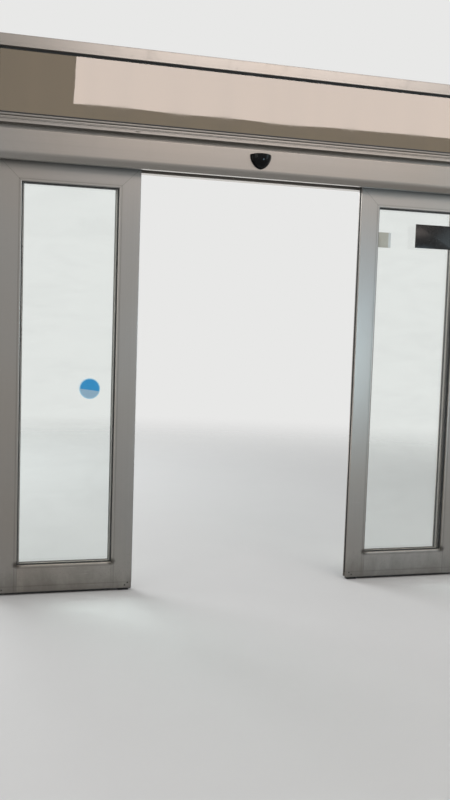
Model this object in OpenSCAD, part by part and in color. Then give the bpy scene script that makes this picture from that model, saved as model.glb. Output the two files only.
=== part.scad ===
// Automatic sliding door with two leaves, side frames, a header box and a glazed light above.
// The origin is the middle of the left post's foot. X runs along the door, -Y is the room side,
// +Y is outdoors and Z is up. The leaves are drawn fully open.

/* [Opening] */
// Clear width between the open leaves
clear_w = 1250; // [1100:10:1500]
// Height of the transom beam's underside above the floor
clear_h = 2224; // [2100:1:2400]

/* [Leaves] */
// Thickness of a leaf
leaf_t = 40; // [38:1:46]
// Length of each leaf that stays behind the opening's edge when it is closed
leaf_lap = 92; // [80:1:110]
// Width of a leaf's stiles
leaf_stile_w = 112; // [90:1:125]
// Height of a leaf's top rail
leaf_top_rail_h = 109; // [90:1:125]
// Height of a leaf's bottom rail
leaf_bottom_rail_h = 143; // [120:1:170]
// Gap between the floor and a leaf
floor_gap = 14; // [9:1:16]
// Height by which a leaf reaches above the beam's underside
leaf_top_lap = 16; // [14:1:18]
// Gap left between the two seals when the leaves are closed
meeting_gap = 6; // [5:1:10]

/* [Leaf details] */
// Radius on the long edges of the frame profiles
arris_r = 2.5; // [1:0.5:4]
// Width of the glazing bead round a leaf's or side frame's glass
bead_w = 14; // [11:1:20]
// Radius on the glazing bead's edge next to the glass
bead_r = 5; // [3:0.5:6]
// Width and depth of the lines cut along a profile's face
line_w = 1.6; // [1:0.1:2.5]
// Height of the shoe line on a leaf's bottom rail
shoe_h = 32; // [20:1:40]
// Width of the guide channel under a leaf
channel_w = 16; // [16:1:18]
// Height of the guide channel under a leaf
channel_h = 27; // [22:1:30]

/* [Glazing] */
// Thickness of every sheet of glass
glass_t = 8; // [6:1:10]
// Depth to which the glass enters a frame
glass_bite = 10; // [8:1:12]
// Depth of the pocket that holds the glass and its gasket
pocket_depth = 14; // [13:1:16]
// Thickness of gasket on each side of the glass
gasket_t = 4; // [3:0.5:5]
// Height of gasket that shows beyond a leaf's edge
gasket_show = 5; // [2:0.5:9]
// Height of gasket that shows beyond a side frame's edge
side_gasket_show = 2; // [1:0.5:6]
// Height of gasket that shows beyond the edge of the light above the door
light_gasket_show = 8; // [4:0.5:9]

/* [Seals and guides] */
// Width of the rubber seal along a leaf's leading edge
seal_w = 14; // [10:1:18]
// Depth of the groove that holds the seal
seal_depth = 6; // [4:1:8]
// Distance by which the seal stands out of the leading edge
seal_proud = 4; // [2:0.5:5]
// Length of a floor guide
guide_l = 56; // [40:1:80]
// Thickness of a floor guide's base
guide_base_t = 5; // [4:1:6]
// Thickness of a floor guide's fin
fin_t = 6; // [5:0.5:6]
// Height of a floor guide's fin above the floor
fin_h = 31; // [26:1:32]
// Distance from the open leaf's leading edge to a floor guide
guide_inset = 14; // [8:1:25]

/* [Frame] */
// Width of a post
post_w = 50; // [45:1:80]
// Depth of the posts, the transom beam and the head rail
frame_d = 60; // [55:1:80]
// Gap between a leaf and the frame behind it
leaf_frame_gap = 6; // [5:1:10]
// Gap between an open leaf and the frame's outer end
end_gap = 60; // [14:1:80]
// Depth of the side frames
side_d = 44; // [40:1:48]
// Width of a side frame's inner stile
side_stile_w = 91; // [70:1:100]
// Width of a side frame's outer stile
side_outer_w = 134; // [90:1:150]
// Distance from the open leaf's leading edge back to the side frame
side_setback = 29; // [20:1:40]

/* [Above the door] */
// Height of the transom beam
beam_h = 236; // [220:1:300]
// Height of the glazing bead on the transom beam
light_bead_h = 16; // [10:1:24]
// Height from the transom beam to the head rail
light_h = 340; // [200:10:600]
// Height of the head rail
head_h = 60; // [45:1:80]
// Height of the ribbed trim along the transom beam
trim_h = 46; // [40:1:60]
// Depth of the ribbed trim
trim_d = 46; // [30:1:60]
// Radius on the trim's lower edge
trim_nose_r = 5; // [3:0.5:7]
// Radius of the trim's ribs
trim_rib_r = 4; // [3:0.5:4.5]
// Depth of the grooves beside the trim's ribs
trim_groove_d = 9; // [5:1:14]

/* [Header box] */
// Distance from a leaf's room side to the header cover's face
cover_reach = 100; // [90:1:140]
// Height of the header cover
cover_h = 146; // [140:1:180]
// Thickness of the header cover
cover_t = 3; // [2:0.5:4]
// Height of the sloping lower edge of the cover
slope_h = 26; // [20:1:40]
// Depth of the sloping lower edge of the cover
slope_d = 17; // [8:1:24]
// Width of the lip under the cover
lip_w = 30; // [20:1:36]
// Height of the upturned edge of the lip
lip_up = 9; // [6:1:12]
// Radius of the bend along the cover's top
cover_bend_r = 6; // [5:1:8]
// Radius of the soft crease along the cover's face
crease_r = 40; // [10:1:50]
// Radius of the bends at the lip
lip_bend_r = 3.5; // [3.5:0.5:4]
// Width of the cover's top edge, which rests on the roof
roof_hold = 40; // [25:1:60]
// Height of the roof's hook behind the cover's face
hook_h = 20; // [12:1:30]
// Thickness of an end cap
cap_t = 5; // [3:1:8]
// Thickness of the header beam's back
back_t = 6; // [5:1:8]
// Thickness of the header beam's roof
roof_t = 4; // [3:1:6]

/* [Running gear] */
// Radius of the running rail's crown
crown_r = 4; // [3:0.5:5]
// Height of the running rail's web above the leaf's top
web_rise = 60; // [56:1:64]
// Thickness of the running rail's web
web_t = 6; // [5:1:8]
// Radius of a carriage wheel
wheel_r = 20; // [16:1:22]
// Width of a carriage wheel
wheel_w = 12; // [11:1:13]
// Depth of the groove in a carriage wheel
wheel_groove = 3; // [2.5:0.5:3.5]
// Radius of the small roller under the rail
low_roller_r = 8; // [6:1:9]
// Running gap between a roller and the rail
running_gap = 0.3; // [0.2:0.1:0.5]
// Length of a carriage plate
carriage_l = 150; // [140:1:180]
// Thickness of a carriage plate and its foot
carriage_t = 5; // [4:1:5]
// Distance from a leaf's end to the middle of its carriage
carriage_inset = 130; // [100:1:160]

/* [Motion sensor] */
// Width of the sensor
sensor_w = 116; // [90:1:130]
// Height of the sensor
sensor_h = 82; // [70:1:84]
// Distance by which the sensor stands out
sensor_d = 46; // [30:1:60]
// Distance of the sensor's middle from the opening's middle
sensor_x = -8; // [-60:1:60]
// Height of the sensor's top above the cover's bottom
sensor_top = 125; // [123:1:134]

/* [Fixing holes] */
// Radius of the fixing holes through the posts and the head rail
fixing_r = 4; // [3:0.5:5]
// Distance from the outdoor face to the fixing holes
fixing_inset = 8; // [7:0.5:10]

/* [Hidden] */
$fn = 48;
arc_steps = 5;
cut = 1;             // how far a cutting shape passes the face it cuts

// Across the door, measured from the middle of the opening
lead_x = clear_w / 2;
leaf_w = lead_x + leaf_lap;
tail_x = lead_x + leaf_w;
frame_x = tail_x + end_gap;
post_x = frame_x - post_w;
side_x = lead_x + side_setback;
travel = lead_x - meeting_gap / 2 - seal_proud;

// Through the door, measured from the leaves' room side
frame_y = leaf_t + leaf_frame_gap;
out_y = frame_y + frame_d;
mid_y = frame_y + frame_d / 2;
side_mid_y = frame_y + side_d / 2;
fixing_y = out_y - fixing_inset;
cover_y = -cover_reach;
lip_y = cover_y + slope_d + lip_w;

// Heights
leaf_z = floor_gap;
leaf_top = clear_h + leaf_top_lap;
glass_low = leaf_z + leaf_bottom_rail_h;
glass_high = leaf_top - leaf_top_rail_h;
beam_top = clear_h + beam_h;
light_low = beam_top + light_bead_h;
light_top = beam_top + light_h;
frame_top = light_top + head_h;
cover_top = clear_h + cover_h;
web_low = leaf_top + web_rise;
web_top = web_low + web_t;
crown_top = web_top + crown_r;

// Running gear
pocket_w = glass_t + 2 * gasket_t;
rail_y = leaf_t / 2;
wheel_z = crown_top + running_gap + wheel_r - wheel_groove;
low_roller_z = web_low - 3 * running_gap - low_roller_r;
foot_z = leaf_top + 8;
foot_front = 3;
foot_back = leaf_t - 6;
web_front = rail_y - crown_r - 2;
seam_r = 0.6;        // on edges where two profiles meet
light_bead_d = pocket_w / 2 + 6;
axle_r = 4;
bolt_r = 6;
wheel_spread = 45;
plate_top = wheel_z + 10;
back_low = leaf_top + 8;

aluminium = [0.66, 0.63, 0.59];
clear_glass = [0.75, 0.85, 0.85, 0.35];
black_rubber = [0.07, 0.07, 0.07];
black_plastic = [0.03, 0.03, 0.035];
zinc = [0.6, 0.6, 0.62];

// Points of an arc, from one angle to another
function arc(c, r, from, to) =
    [for (i = [0:arc_steps]) c + r * [cos(from + (to - from) * i / arc_steps),
                                      sin(from + (to - from) * i / arc_steps)]];
// Outline of a rectangle with rounded corners, all of one radius or with one for each of its four sides
function round_box(x0, y0, x1, y1, r, left = 0, right = 0, low = 0, high = 0) =
    let (a = max(r, right, high), b = max(r, left, high), c = max(r, left, low), d = max(r, right, low))
    concat(arc([x1 - a, y1 - a], a, 0, 90), arc([x0 + b, y1 - b], b, 90, 180),
           arc([x0 + c, y0 + c], c, 180, 270), arc([x1 - d, y0 + d], d, 270, 360));
function unit(v) = v / norm(v);
function left_of(v) = [-v[1], v[0]];
// Offset of an inner or end point of an open line, to its left side
function side_step(line, i, t) =
    let (n = len(line),
         a = i == 0 ? left_of(unit(line[1] - line[0])) : left_of(unit(line[i] - line[i - 1])),
         b = i == n - 1 ? a : left_of(unit(line[i + 1] - line[i])),
         m = unit(a + b))
    m * t / (m * a);
// Round bend of a radius at the corner b of the line a, b, c
function bend(a, b, c, r) =
    let (u = unit(a - b), v = unit(c - b), half = acos(u * v) / 2, middle = b + unit(u + v) * r / sin(half),
         p = b + u * r / tan(half) - middle, q = b + v * r / tan(half) - middle,
         from = atan2(p[1], p[0]), turn = (atan2(q[1], q[0]) - from + 540) % 360 - 180)
    arc(middle, r, from, from + turn);
// Closed outline of a folded sheet whose outer face follows a line
function sheet(line, t) =
    concat(line, [for (i = [len(line) - 1:-1:0]) line[i] + side_step(line, i, t)]);

// Puts a piece drawn from the opening's middle and the leaves' room side into the part's frame
module at_door() translate([frame_x - post_w / 2, -mid_y, 0]) children();
module on_left() mirror([1, 0, 0]) children();
// Extrudes a section drawn as (y, z) along the door
module along_x(x0, x1) translate([x0, 0, 0]) rotate([90, 0, 90]) linear_extrude(x1 - x0) children();
// Extrudes a section drawn as (x, y) upwards
module upward(z0, z1) translate([0, 0, z0]) linear_extrude(z1 - z0) children();
// Extrudes an outline drawn as (x, z) through the door
module through_y(y0, y1) translate([0, y1, 0]) rotate([90, 0, 0]) linear_extrude(y1 - y0) children();
module box(a, b) translate(a) cube(b - a);
// Fixing hole along the door, from one x to another
module fixing_x(x0, x1, z) translate([x0 - cut, fixing_y, z]) rotate([0, 90, 0])
    cylinder(r = fixing_r, h = x1 - x0 + 2 * cut);
// Fixing hole upwards
module fixing_z(x, z0, z1) translate([x, fixing_y, z0 - cut]) cylinder(r = fixing_r, h = z1 - z0 + 2 * cut);

// Space that the glass and its gasket take inside the frame round an opening
module pocket(x0, x1, y, z0, z1)
    box([x0 - pocket_depth, y - pocket_w / 2, z0 - pocket_depth],
        [x1 + pocket_depth, y + pocket_w / 2, z1 + pocket_depth]);
module pane(x0, x1, y, z0, z1) color(clear_glass)
    box([x0 - glass_bite, y - glass_t / 2, z0 - glass_bite],
        [x1 + glass_bite, y + glass_t / 2, z1 + glass_bite]);
module gasket(x0, x1, y, z0, z1, show) color(black_rubber) difference() {
    pocket(x0, x1, y, z0, z1);
    pane(x0, x1, y, z0, z1);
    box([x0 + show, y - pocket_w, z0 + show], [x1 - show, y + pocket_w, z1 - show]);
}
// Lines cut in both faces of a frame, round the glazing bead of an opening
module bead_lines(x0, x1, y0, d, z0, z1) for (y = [y0, y0 + d]) difference() {
    outer = bead_w + line_w / 2;
    inner = bead_w - line_w / 2;
    box([x0 - outer, y - line_w / 2, z0 - outer], [x1 + outer, y + line_w / 2, z1 + outer]);
    box([x0 - inner, y - line_w, z0 - inner], [x1 + inner, y + line_w, z1 + inner]);
}

// Leaf frame, drawn as the right leaf
glass_x0 = lead_x + leaf_stile_w;
glass_x1 = tail_x - leaf_stile_w;
module leaf_pocket() pocket(glass_x0, glass_x1, leaf_t / 2, glass_low, glass_high);
module guide_channel() box([lead_x - cut, (leaf_t - channel_w) / 2, leaf_z - cut],
    [tail_x + cut, (leaf_t + channel_w) / 2, leaf_z + channel_h]);
module leaf_bead_lines() bead_lines(glass_x0, glass_x1, 0, leaf_t, glass_low, glass_high);
module leading_stile() color(aluminium) difference() {
    intersection() {
        union() {
            upward(leaf_z, glass_low) polygon(round_box(lead_x, 0, glass_x0, leaf_t, seam_r, left = arris_r));
            upward(glass_low, leaf_top)
                polygon(round_box(lead_x, 0, glass_x0, leaf_t, seam_r, left = arris_r, right = bead_r));
        }
        through_y(-cut, leaf_t + cut) polygon([[lead_x, leaf_z], [glass_x0, leaf_z], [glass_x0, glass_high],
            [lead_x, leaf_top]]);
    }
    leaf_pocket();
    leaf_bead_lines();
    guide_channel();
    box([lead_x - cut, (leaf_t - seal_w) / 2, leaf_z - cut],
        [lead_x + seal_depth, (leaf_t + seal_w) / 2, leaf_top + cut]);
}
module trailing_stile() color(aluminium) difference() {
    intersection() {
        union() {
            upward(leaf_z, glass_low) polygon(round_box(glass_x1, 0, tail_x, leaf_t, seam_r, right = arris_r));
            upward(glass_low, leaf_top)
                polygon(round_box(glass_x1, 0, tail_x, leaf_t, seam_r, left = bead_r, right = arris_r));
        }
        through_y(-cut, leaf_t + cut) polygon([[glass_x1, leaf_z], [tail_x, leaf_z], [tail_x, leaf_top],
            [glass_x1, glass_high]]);
    }
    leaf_pocket();
    leaf_bead_lines();
    guide_channel();
}
module leaf_top_rail() color(aluminium) difference() {
    intersection() {
        along_x(lead_x, tail_x) polygon(round_box(0, glass_high, leaf_t, leaf_top, arris_r, low = bead_r));
        through_y(-cut, leaf_t + cut) polygon([[glass_x0, glass_high], [glass_x1, glass_high],
            [tail_x, leaf_top], [lead_x, leaf_top]]);
    }
    leaf_pocket();
    leaf_bead_lines();
    box([lead_x - cut, (leaf_t - seal_w) / 2, glass_high],
        [lead_x + seal_depth, (leaf_t + seal_w) / 2, leaf_top + cut]);
}
module leaf_bottom_rail() color(aluminium) difference() {
    along_x(glass_x0, glass_x1) difference() {
        polygon(round_box(0, leaf_z, leaf_t, glass_low, arris_r, high = bead_r));
        for (y = [0, leaf_t]) translate([y - line_w / 2, leaf_z + shoe_h - line_w / 2]) square(line_w);
    }
    leaf_pocket();
    leaf_bead_lines();
    guide_channel();
}
module leaf_glass() pane(glass_x0, glass_x1, leaf_t / 2, glass_low, glass_high);
module leaf_gasket() gasket(glass_x0, glass_x1, leaf_t / 2, glass_low, glass_high, gasket_show);
module leaf_seal() color(black_rubber) translate([lead_x, leaf_t / 2, 0]) upward(leaf_z + channel_h, leaf_top)
    polygon(concat([[seal_depth, -seal_w / 2], [seal_depth, seal_w / 2], [0, seal_w / 2]],
        [for (a = [30:30:150]) [-seal_proud * sin(a), seal_w / 2 * cos(a)]], [[0, -seal_w / 2]]));

// Carriage that hangs a leaf from the running rail
module wheel(r, w, groove_r) rotate([90, 0, 0]) rotate_extrude() difference() {
    translate([0, -w / 2]) square([r, w]);
    if (groove_r > 0) translate([r - wheel_groove + groove_r, 0]) circle(groove_r);
}
module carriage(x) color(zinc) translate([x, 0, 0]) {
    plate_front = foot_front;
    plate_back = foot_front + carriage_t;
    through_y(plate_front, plate_back)
        polygon(round_box(-carriage_l / 2, foot_z, carriage_l / 2, plate_top, 2 * arris_r));
    box([-carriage_l / 2, plate_front, foot_z], [carriage_l / 2, foot_back, foot_z + carriage_t]);
    for (side = [-1, 1]) {
        translate([side * wheel_spread, rail_y, wheel_z]) wheel(wheel_r, wheel_w, crown_r + running_gap);
        translate([side * wheel_spread, rail_y + wheel_w / 2, wheel_z]) rotate([90, 0, 0])
            cylinder(r = axle_r, h = rail_y + wheel_w / 2 - plate_front - carriage_t / 2);
        translate([side * wheel_spread, rail_y, leaf_top]) cylinder(r = bolt_r, h = foot_z + carriage_t + 6 - leaf_top);
    }
    translate([0, rail_y, low_roller_z]) wheel(low_roller_r, wheel_w, 0);
    translate([0, rail_y, low_roller_z]) rotate([90, 0, 0])
        cylinder(r = axle_r, h = rail_y - plate_front - carriage_t / 2);
}
module lead_carriage() carriage(lead_x + carriage_inset);
module tail_carriage() carriage(tail_x - carriage_inset);

// Side frame, drawn on the right
side_glass_x0 = side_x + side_stile_w;
side_glass_x1 = post_x - side_outer_w;
module side_pocket() pocket(side_glass_x0, side_glass_x1, side_mid_y, glass_low, glass_high);
module side_bead_lines() bead_lines(side_glass_x0, side_glass_x1, frame_y, side_d, glass_low, glass_high);
// A stile with its glass on the left (-1) or right (1). The bead's radius runs beside the glass alone
module side_stile(x0, x1, glass_side) color(aluminium) difference() {
    union() for (part = [[0, glass_low, seam_r], [glass_low, glass_high, bead_r], [glass_high, clear_h, seam_r]])
        upward(part[0], part[1]) polygon(round_box(x0, frame_y, x1, frame_y + side_d, seam_r,
            left = glass_side < 0 ? part[2] : arris_r, right = glass_side > 0 ? part[2] : arris_r));
    side_pocket();
    side_bead_lines();
}
module side_rail(z0, z1, low, high) color(aluminium) difference() {
    along_x(side_glass_x0, side_glass_x1)
        polygon(round_box(frame_y, z0, frame_y + side_d, z1, seam_r, low = low, high = high));
    side_pocket();
    side_bead_lines();
}
module side_inner_stile() side_stile(side_x, side_glass_x0, 1);
module side_outer_stile() side_stile(side_glass_x1, post_x, -1);
module side_top_rail() side_rail(glass_high, clear_h, bead_r, arris_r);
module side_bottom_rail() side_rail(0, glass_low, arris_r, bead_r);
module side_glass() pane(side_glass_x0, side_glass_x1, side_mid_y, glass_low, glass_high);
module side_gasket() gasket(side_glass_x0, side_glass_x1, side_mid_y, glass_low, glass_high, side_gasket_show);

// Posts, transom beam, head rail and the glazed light between them
module light_pocket() pocket(-post_x, post_x, mid_y, light_low, light_top);
fixing_heights = [250, clear_h / 2, clear_h - 174];
module post() color(aluminium) difference() {
    translate([post_x, frame_y, 0]) upward(0, frame_top) polygon(round_box(0, 0, post_w, frame_d, arris_r));
    light_pocket();
    for (z = fixing_heights) fixing_x(post_x, frame_x, z);
}
module transom_beam() color(aluminium) at_door() difference() {
    along_x(-post_x, post_x) difference() {
        union() {
            polygon(round_box(frame_y, clear_h, out_y, beam_top, arris_r));
            polygon(round_box(mid_y - light_bead_d, beam_top - bead_r, mid_y + light_bead_d, light_low, seam_r,
                high = arris_r));
        }
        for (z = [clear_h + bead_w, beam_top - trim_h]) translate([out_y - line_w / 2, z - line_w / 2]) square(line_w);
    }
    light_pocket();
}
module transom_trim() color(aluminium) at_door() {
    low = beam_top - trim_h;
    front = frame_y - trim_d;
    step = trim_groove_d / 5;
    middle = low + trim_h / 2;
    ridge = beam_top - trim_rib_r;
    along_x(-post_x, post_x) polygon(concat([[frame_y, low]],
        arc([front + trim_nose_r, low + trim_nose_r], trim_nose_r, 270, 180),
        [[front, middle - 2.5 * trim_rib_r], [front + step, middle - 2 * trim_rib_r]],
        [[front + step, middle - trim_rib_r]], arc([front + trim_rib_r, middle], trim_rib_r, 220, 140),
        [[front + trim_groove_d, middle + 1.7 * trim_rib_r], [front + trim_groove_d, ridge - 1.6 * trim_rib_r]],
        arc([front + step + trim_rib_r, ridge], trim_rib_r, 230, 90), [[frame_y, beam_top]]));
}
module head_rail() color(aluminium) at_door() difference() {
    along_x(-post_x, post_x) difference() {
        polygon(round_box(frame_y, light_top, out_y, frame_top, arris_r));
        for (y = [frame_y, out_y]) translate([y - line_w / 2, light_top + bead_w - line_w / 2]) square(line_w);
    }
    light_pocket();
    for (x = [-0.7 * post_x, 0, 0.7 * post_x]) fixing_z(x, light_top, frame_top);
}
module transom_glass() at_door() pane(-post_x, post_x, mid_y, light_low, light_top);
module transom_gasket() at_door() gasket(-post_x, post_x, mid_y, light_low, light_top, light_gasket_show);

// Header box: the beam with its running rail, the cover and the end caps
cap_x = frame_x - cap_t;
roof_top = cover_top - cover_t;
roof_front = cover_y + cover_t;
roof_corner_r = cover_bend_r - cover_t + 1;
module header_beam() color(aluminium) at_door() union() {
    along_x(-cap_x, cap_x) {
        translate([frame_y - back_t, back_low]) square([back_t, roof_top - back_low]);
        polygon(concat([[roof_front, roof_top - hook_h]],
            arc([roof_front + roof_corner_r, roof_top - roof_corner_r], roof_corner_r, 180, 90),
            [[frame_y, roof_top], [frame_y, roof_top - roof_t], [roof_front + roof_t, roof_top - roof_t],
             [roof_front + roof_t, roof_top - hook_h]]));
        translate([web_front, web_low]) square([frame_y - back_t - web_front + cut, web_t]);
    }
    translate([-cap_x, rail_y, web_top]) rotate([0, 90, 0]) cylinder(r = crown_r, h = 2 * cap_x);
}
// The folds of the header cover, from the edge inside its lip to the edge on the roof
cover_folds = [[lip_y, clear_h + lip_up], [lip_y, clear_h], [cover_y + slope_d, clear_h],
    [cover_y, clear_h + slope_h], [cover_y, cover_top], [cover_y + roof_hold, cover_top]];
cover_radii = [lip_bend_r, lip_bend_r, crease_r, cover_bend_r];
cover_line = [cover_folds[0],
    for (i = [1:len(cover_folds) - 2], p = bend(cover_folds[i - 1], cover_folds[i], cover_folds[i + 1],
        cover_radii[i - 1])) p, cover_folds[len(cover_folds) - 1]];
module header_cover() color(aluminium) at_door() along_x(-cap_x, cap_x) polygon(sheet(cover_line, -cover_t));
module end_cap() color(aluminium) along_x(cap_x, frame_x)
    polygon(concat([[frame_y, back_low], [frame_y, cover_top]],
        [for (i = [len(cover_line) - 2:-1:1]) cover_line[i]], [[0, clear_h]]));

// Shield-shaped outline of the motion sensor, from its top middle, scaled about that point
function shield(s) = [for (i = [0:shield_steps - 1]) let (a = 360 * i / shield_steps, c = cos(a), h = sin(a))
    h > 0 ? [s * sensor_w / 2 * c, s * sensor_h * sensor_arch * h]
          : [s * sensor_w / 2 * sign(c) * pow(abs(c), 1.4), s * sensor_h * (1 - sensor_arch) * h]];
shield_steps = 36;
sensor_arch = 0.11;
dome_steps = 6;
module motion_sensor() color(black_plastic) at_door() {
    base_t = 5;
    n = shield_steps;
    rings = concat([[0, 1], [base_t, 1]], [for (k = [1:dome_steps]) let (a = 86 * k / dome_steps)
        [base_t + (sensor_d - base_t) * sin(a), cos(a)]]);
    points = [for (ring = rings, p = shield(ring[1])) [p[0], -ring[0], p[1]]];
    last = len(rings) - 1;
    faces = concat([[for (i = [0:n - 1]) i]], [[for (i = [n - 1:-1:0]) last * n + i]],
        [for (k = [0:last - 1], i = [0:n - 1]) let (j = (i + 1) % n)
            [k * n + i, (k + 1) * n + i, (k + 1) * n + j, k * n + j]]);
    translate([sensor_x, cover_y, clear_h + sensor_top - sensor_arch * sensor_h]) polyhedron(points, faces, convexity = 4);
}

// Floor guide, drawn on the right: a base against the side frame and a fin in the leaf's channel
module floor_guide() color(black_plastic) {
    x0 = lead_x + guide_inset;
    x1 = x0 + guide_l;
    mid = leaf_t / 2;
    box([x0, mid - 12, 0], [x1, frame_y, guide_base_t]);
    box([x0, mid - fin_t / 2, 0], [x1, mid + fin_t / 2, fin_h]);
}

module left_post() at_door() on_left() post();
module right_post() at_door() post();
module left_side_inner_stile() at_door() on_left() side_inner_stile();
module left_side_outer_stile() at_door() on_left() side_outer_stile();
module left_side_top_rail() at_door() on_left() side_top_rail();
module left_side_bottom_rail() at_door() on_left() side_bottom_rail();
module left_side_glass() at_door() on_left() side_glass();
module left_side_gasket() at_door() on_left() side_gasket();
module right_side_inner_stile() at_door() side_inner_stile();
module right_side_outer_stile() at_door() side_outer_stile();
module right_side_top_rail() at_door() side_top_rail();
module right_side_bottom_rail() at_door() side_bottom_rail();
module right_side_glass() at_door() side_glass();
module right_side_gasket() at_door() side_gasket();
module left_end_cap() at_door() on_left() end_cap();
module right_end_cap() at_door() end_cap();
module left_floor_guide() at_door() on_left() floor_guide();
module right_floor_guide() at_door() floor_guide();
module left_leaf_leading_stile() at_door() on_left() leading_stile();
module left_leaf_trailing_stile() at_door() on_left() trailing_stile();
module left_leaf_top_rail() at_door() on_left() leaf_top_rail();
module left_leaf_bottom_rail() at_door() on_left() leaf_bottom_rail();
module left_leaf_glass() at_door() on_left() leaf_glass();
module left_leaf_gasket() at_door() on_left() leaf_gasket();
module left_leaf_seal() at_door() on_left() leaf_seal();
module left_leaf_lead_carriage() at_door() on_left() lead_carriage();
module left_leaf_tail_carriage() at_door() on_left() tail_carriage();
module right_leaf_leading_stile() at_door() leading_stile();
module right_leaf_trailing_stile() at_door() trailing_stile();
module right_leaf_top_rail() at_door() leaf_top_rail();
module right_leaf_bottom_rail() at_door() leaf_bottom_rail();
module right_leaf_glass() at_door() leaf_glass();
module right_leaf_gasket() at_door() leaf_gasket();
module right_leaf_seal() at_door() leaf_seal();
module right_leaf_lead_carriage() at_door() lead_carriage();
module right_leaf_tail_carriage() at_door() tail_carriage();

left_post();
right_post();
transom_beam();
transom_trim();
head_rail();
transom_glass();
transom_gasket();
left_side_inner_stile();
left_side_outer_stile();
left_side_top_rail();
left_side_bottom_rail();
left_side_glass();
left_side_gasket();
right_side_inner_stile();
right_side_outer_stile();
right_side_top_rail();
right_side_bottom_rail();
right_side_glass();
right_side_gasket();
header_beam();
header_cover();
left_end_cap();
right_end_cap();
motion_sensor();
left_floor_guide();
right_floor_guide();
left_leaf_leading_stile();
left_leaf_trailing_stile();
left_leaf_top_rail();
left_leaf_bottom_rail();
left_leaf_glass();
left_leaf_gasket();
left_leaf_seal();
left_leaf_lead_carriage();
left_leaf_tail_carriage();
right_leaf_leading_stile();
right_leaf_trailing_stile();
right_leaf_top_rail();
right_leaf_bottom_rail();
right_leaf_glass();
right_leaf_gasket();
right_leaf_seal();
right_leaf_lead_carriage();
right_leaf_tail_carriage();
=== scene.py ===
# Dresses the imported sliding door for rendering: a camera, a pale studio, metal and glass
# finishes, and the small fittings that the solids leave out.
# The part's frame: X along the door, -Y is the room side, Z is up, in metres.
import math
import random

import bmesh
import bpy
from mathutils import Matrix, Vector


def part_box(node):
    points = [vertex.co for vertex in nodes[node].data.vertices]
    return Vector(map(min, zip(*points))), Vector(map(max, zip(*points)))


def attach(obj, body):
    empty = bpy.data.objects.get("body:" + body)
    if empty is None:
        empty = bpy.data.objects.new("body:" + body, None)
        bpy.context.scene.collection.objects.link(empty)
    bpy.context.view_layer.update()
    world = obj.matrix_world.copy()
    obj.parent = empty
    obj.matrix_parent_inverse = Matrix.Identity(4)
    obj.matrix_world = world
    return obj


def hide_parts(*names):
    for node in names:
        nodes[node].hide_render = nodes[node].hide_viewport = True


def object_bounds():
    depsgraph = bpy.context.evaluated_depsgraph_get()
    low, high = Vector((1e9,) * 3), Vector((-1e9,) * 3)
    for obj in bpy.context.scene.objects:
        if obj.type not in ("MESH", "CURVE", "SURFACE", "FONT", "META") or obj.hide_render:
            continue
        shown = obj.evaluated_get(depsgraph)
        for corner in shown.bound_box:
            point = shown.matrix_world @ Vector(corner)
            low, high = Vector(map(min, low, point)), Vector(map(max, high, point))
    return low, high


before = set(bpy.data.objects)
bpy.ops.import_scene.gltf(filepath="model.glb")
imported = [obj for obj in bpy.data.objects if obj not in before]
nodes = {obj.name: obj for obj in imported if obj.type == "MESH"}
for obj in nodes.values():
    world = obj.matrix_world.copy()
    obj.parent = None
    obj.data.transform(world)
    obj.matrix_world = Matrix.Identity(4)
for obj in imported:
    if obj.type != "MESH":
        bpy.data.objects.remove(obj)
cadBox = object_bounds()
scene = bpy.context.scene
middleX = (cadBox[0][0] + cadBox[1][0]) / 2


# Colours, meshes and nodes that everything below shares

def paint(colour):
    # A colour as it is seen on screen, 0 to 255, turned into the linear values that nodes take
    def line(value):
        value = value / 255
        return value / 12.92 if value <= 0.04045 else ((value + 0.055) / 1.055) ** 2.4

    return (*map(line, colour), 1.0)


def meshObject(name, points, faces):
    data = bpy.data.meshes.new(name)
    data.from_pydata([tuple(p) for p in points], [], faces)
    made = bpy.data.objects.new(name, data)
    scene.collection.objects.link(made)
    return made


def joinRings(shell, rings):
    # Walls between rings that have the same number of points
    for first, second in zip(rings, rings[1:]):
        for i in range(len(first)):
            j = (i + 1) % len(first)
            shell.faces.new((first[i], first[j], second[j], second[i]))


def finishMesh(name, shell, sharpest):
    # Turns a bmesh into a smooth-shaded object whose faces point outwards
    bmesh.ops.remove_doubles(shell, verts=shell.verts, dist=1e-7)
    bmesh.ops.recalc_face_normals(shell, faces=shell.faces)
    made = meshObject(name, [], [])
    shell.to_mesh(made.data)
    shell.free()
    for face in made.data.polygons:
        face.use_smooth = True
    made.data.set_sharp_from_angle(angle=math.radians(sharpest))
    return made


def plug(tree, socket, value):
    # Another node's output is linked to the socket, and a plain value is set on it
    if isinstance(value, bpy.types.NodeSocket):
        tree.links.new(value, socket)
    else:
        socket.default_value = value


def put(tree, kind, inputs=None, **settings):
    # A new node, whose inputs go by name or number
    made = tree.nodes.new(kind)
    for key, value in settings.items():
        setattr(made, key, value)
    for key, value in (inputs or {}).items():
        plug(tree, made.inputs[key], value)
    return made


def mixColour(tree, factor, first, second):
    return put(tree, "ShaderNodeMix", {0: factor, 6: first, 7: second}, data_type="RGBA").outputs[2]


def mixValue(tree, factor, first, second):
    return put(tree, "ShaderNodeMix", {0: factor, 2: first, 3: second}).outputs[0]


def sums(tree, operation, first, second=0.5, third=0.5):
    return put(tree, "ShaderNodeMath", {0: first, 1: second, 2: third}, operation=operation).outputs[0]


def mapped(tree, value, low, high, newLow=0.0, newHigh=1.0, kind="LINEAR"):
    made = put(tree, "ShaderNodeMapRange", {0: value, 1: low, 2: high, 3: newLow, 4: newHigh},
               interpolation_type=kind)
    return made.outputs[0]


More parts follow.
